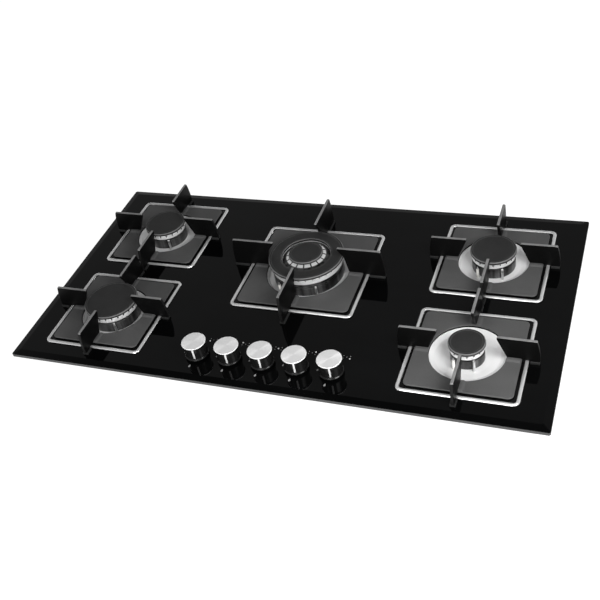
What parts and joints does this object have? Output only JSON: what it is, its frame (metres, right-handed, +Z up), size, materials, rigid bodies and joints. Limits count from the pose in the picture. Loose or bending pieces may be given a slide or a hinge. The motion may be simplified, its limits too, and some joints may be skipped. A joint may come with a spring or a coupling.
{
  "type": "gas cooktop",
  "caption": "Built-in gas cooktop: bevelled black glass, round burners in square polished trays, upright-blade pan supports, a row of push-and-turn knobs at the front.",
  "frame": {"origin": "under the middle of the glass, on the flat underside of the base pan", "axes": "+X to the user's right along the long side, +Y to the rear, +Z up out of the glass"},
  "size_m": [0.9, 0.48, 0.1115],
  "materials": {
    "black_glass": "polished, near-black, opaque",
    "zinced_steel": "satin, zinc coated",
    "foam_rubber": "matt foam",
    "polished_steel": "mirror polished stainless steel",
    "cast_aluminium": "as cast, satin",
    "jet_brass": "machined",
    "crown_aluminium": "machined, bright",
    "cap_enamel": "matt dark enamel",
    "white_ceramic": "glazed",
    "probe_steel": "satin",
    "black_plastic": "matt",
    "pipe_aluminium": "drawn tube, satin",
    "white_plastic": "matt",
    "grey_plate": "satin grey enamel",
    "black_blades": "satin black enamel",
    "black_rubber": "matt",
    "knob_plastic": "glossy black",
    "spun_aluminium": "spun, satin"
  },
  "bodies": {
    "cooktop": {"glass_top": "black_glass", "base_pan": "zinced_steel", "worktop_seal": "foam_rubber", "drip_trays": "polished_steel", "burner_bases": "cast_aluminium", "gas_jets": "jet_brass", "side_burner_crowns": "crown_aluminium", "centre_outer_crown": "crown_aluminium", "centre_inner_crown": "crown_aluminium", "centre_ring_cap": "cap_enamel", "burner_cap_front_left": "cap_enamel", "igniters": "white_ceramic", "thermocouples": "probe_steel", "tap_bodies": "cast_aluminium", "ignition_switches": "black_plastic", "gas_rail": "zinced_steel", "rail_brackets": "zinced_steel", "burner_pipes": "pipe_aluminium", "supply_pipe": "zinced_steel", "gas_inlet": "jet_brass", "spark_generator": "white_plastic"},
    "pan_support_front_left": {"support_plate_front_left": "grey_plate", "support_blades_front_left": "black_blades", "support_feet_front_left": "black_rubber"},
    "pan_support_front_right": {"support_plate_front_right": "grey_plate", "support_blades_front_right": "black_blades", "support_feet_front_right": "black_rubber"},
    "pan_support_rear_left": {"support_plate_rear_left": "grey_plate", "support_blades_rear_left": "black_blades", "support_feet_rear_left": "black_rubber"},
    "pan_support_rear_right": {"support_plate_rear_right": "grey_plate", "support_blades_rear_right": "black_blades", "support_feet_rear_right": "black_rubber"},
    "pan_support_centre": {"support_plate_centre": "grey_plate", "support_blades_centre": "black_blades", "support_feet_centre": "black_rubber"},
    "front_right_cap_body": {"burner_cap_front_right": "cap_enamel"},
    "rear_left_cap_body": {"burner_cap_rear_left": "cap_enamel"},
    "rear_right_cap_body": {"burner_cap_rear_right": "cap_enamel"},
    "centre_inner_cap_body": {"centre_inner_cap": "cap_enamel"},
    "tap_far_left": {"tap_plug_far_left": "jet_brass"},
    "control_far_left": {"knob_far_left": "knob_plastic", "knob_disc_far_left": "spun_aluminium", "spindle_far_left": "probe_steel"},
    "tap_left": {"tap_plug_left": "jet_brass"},
    "control_left": {"knob_left": "knob_plastic", "knob_disc_left": "spun_aluminium", "spindle_left": "probe_steel"},
    "tap_middle": {"tap_plug_middle": "jet_brass"},
    "control_middle": {"knob_middle": "knob_plastic", "knob_disc_middle": "spun_aluminium", "spindle_middle": "probe_steel"},
    "tap_right": {"tap_plug_right": "jet_brass"},
    "control_right": {"knob_right": "knob_plastic", "knob_disc_right": "spun_aluminium", "spindle_right": "probe_steel"},
    "tap_far_right": {"tap_plug_far_right": "jet_brass"},
    "control_far_right": {"knob_far_right": "knob_plastic", "knob_disc_far_right": "spun_aluminium", "spindle_far_right": "probe_steel"}
  },
  "joints": [
    {"name": "pan_support_front_left_lift", "type": "slide", "parent": "cooktop", "child": "pan_support_front_left", "axis": [0, 0, 1], "range_m": [0, 0.06]},
    {"name": "pan_support_front_right_lift", "type": "slide", "parent": "cooktop", "child": "pan_support_front_right", "axis": [0, 0, 1], "range_m": [0, 0.06]},
    {"name": "pan_support_rear_left_lift", "type": "slide", "parent": "cooktop", "child": "pan_support_rear_left", "axis": [0, 0, 1], "range_m": [0, 0.06]},
    {"name": "pan_support_rear_right_lift", "type": "slide", "parent": "cooktop", "child": "pan_support_rear_right", "axis": [0, 0, 1], "range_m": [0, 0.06]},
    {"name": "pan_support_centre_lift", "type": "slide", "parent": "cooktop", "child": "pan_support_centre", "axis": [0, 0, 1], "range_m": [0, 0.06]},
    {"name": "front_right_cap_lift", "type": "slide", "parent": "cooktop", "child": "front_right_cap_body", "axis": [0, 0, 1], "range_m": [0, 0.06]},
    {"name": "rear_left_cap_lift", "type": "slide", "parent": "cooktop", "child": "rear_left_cap_body", "axis": [0, 0, 1], "range_m": [0, 0.06]},
    {"name": "rear_right_cap_lift", "type": "slide", "parent": "cooktop", "child": "rear_right_cap_body", "axis": [0, 0, 1], "range_m": [0, 0.06]},
    {"name": "centre_inner_cap_lift", "type": "slide", "parent": "cooktop", "child": "centre_inner_cap_body", "axis": [0, 0, 1], "range_m": [0, 0.06]},
    {"name": "knob_far_left_turn", "type": "hinge", "parent": "cooktop", "child": "tap_far_left", "pos_m": [-0.1154, -0.186, 0.03], "axis": [0, 0, 1], "range_deg": [0, 210]},
    {"name": "knob_far_left_push", "type": "slide", "parent": "tap_far_left", "child": "control_far_left", "axis": [0, 0, -1], "range_m": [0, 0.003], "stiffness_N_per_m": 1500, "springref_m": -0.004},
    {"name": "knob_left_turn", "type": "hinge", "parent": "cooktop", "child": "tap_left", "pos_m": [-0.0577, -0.186, 0.03], "axis": [0, 0, 1], "range_deg": [0, 210]},
    {"name": "knob_left_push", "type": "slide", "parent": "tap_left", "child": "control_left", "axis": [0, 0, -1], "range_m": [0, 0.003], "stiffness_N_per_m": 1500, "springref_m": -0.004},
    {"name": "knob_middle_turn", "type": "hinge", "parent": "cooktop", "child": "tap_middle", "pos_m": [0, -0.186, 0.03], "axis": [0, 0, 1], "range_deg": [0, 210]},
    {"name": "knob_middle_push", "type": "slide", "parent": "tap_middle", "child": "control_middle", "axis": [0, 0, -1], "range_m": [0, 0.003], "stiffness_N_per_m": 1500, "springref_m": -0.004},
    {"name": "knob_right_turn", "type": "hinge", "parent": "cooktop", "child": "tap_right", "pos_m": [0.0577, -0.186, 0.03], "axis": [0, 0, 1], "range_deg": [0, 210]},
    {"name": "knob_right_push", "type": "slide", "parent": "tap_right", "child": "control_right", "axis": [0, 0, -1], "range_m": [0, 0.003], "stiffness_N_per_m": 1500, "springref_m": -0.004},
    {"name": "knob_far_right_turn", "type": "hinge", "parent": "cooktop", "child": "tap_far_right", "pos_m": [0.1154, -0.186, 0.03], "axis": [0, 0, 1], "range_deg": [0, 210]},
    {"name": "knob_far_right_push", "type": "slide", "parent": "tap_far_right", "child": "control_far_right", "axis": [0, 0, -1], "range_m": [0, 0.003], "stiffness_N_per_m": 1500, "springref_m": -0.004}
  ]
}
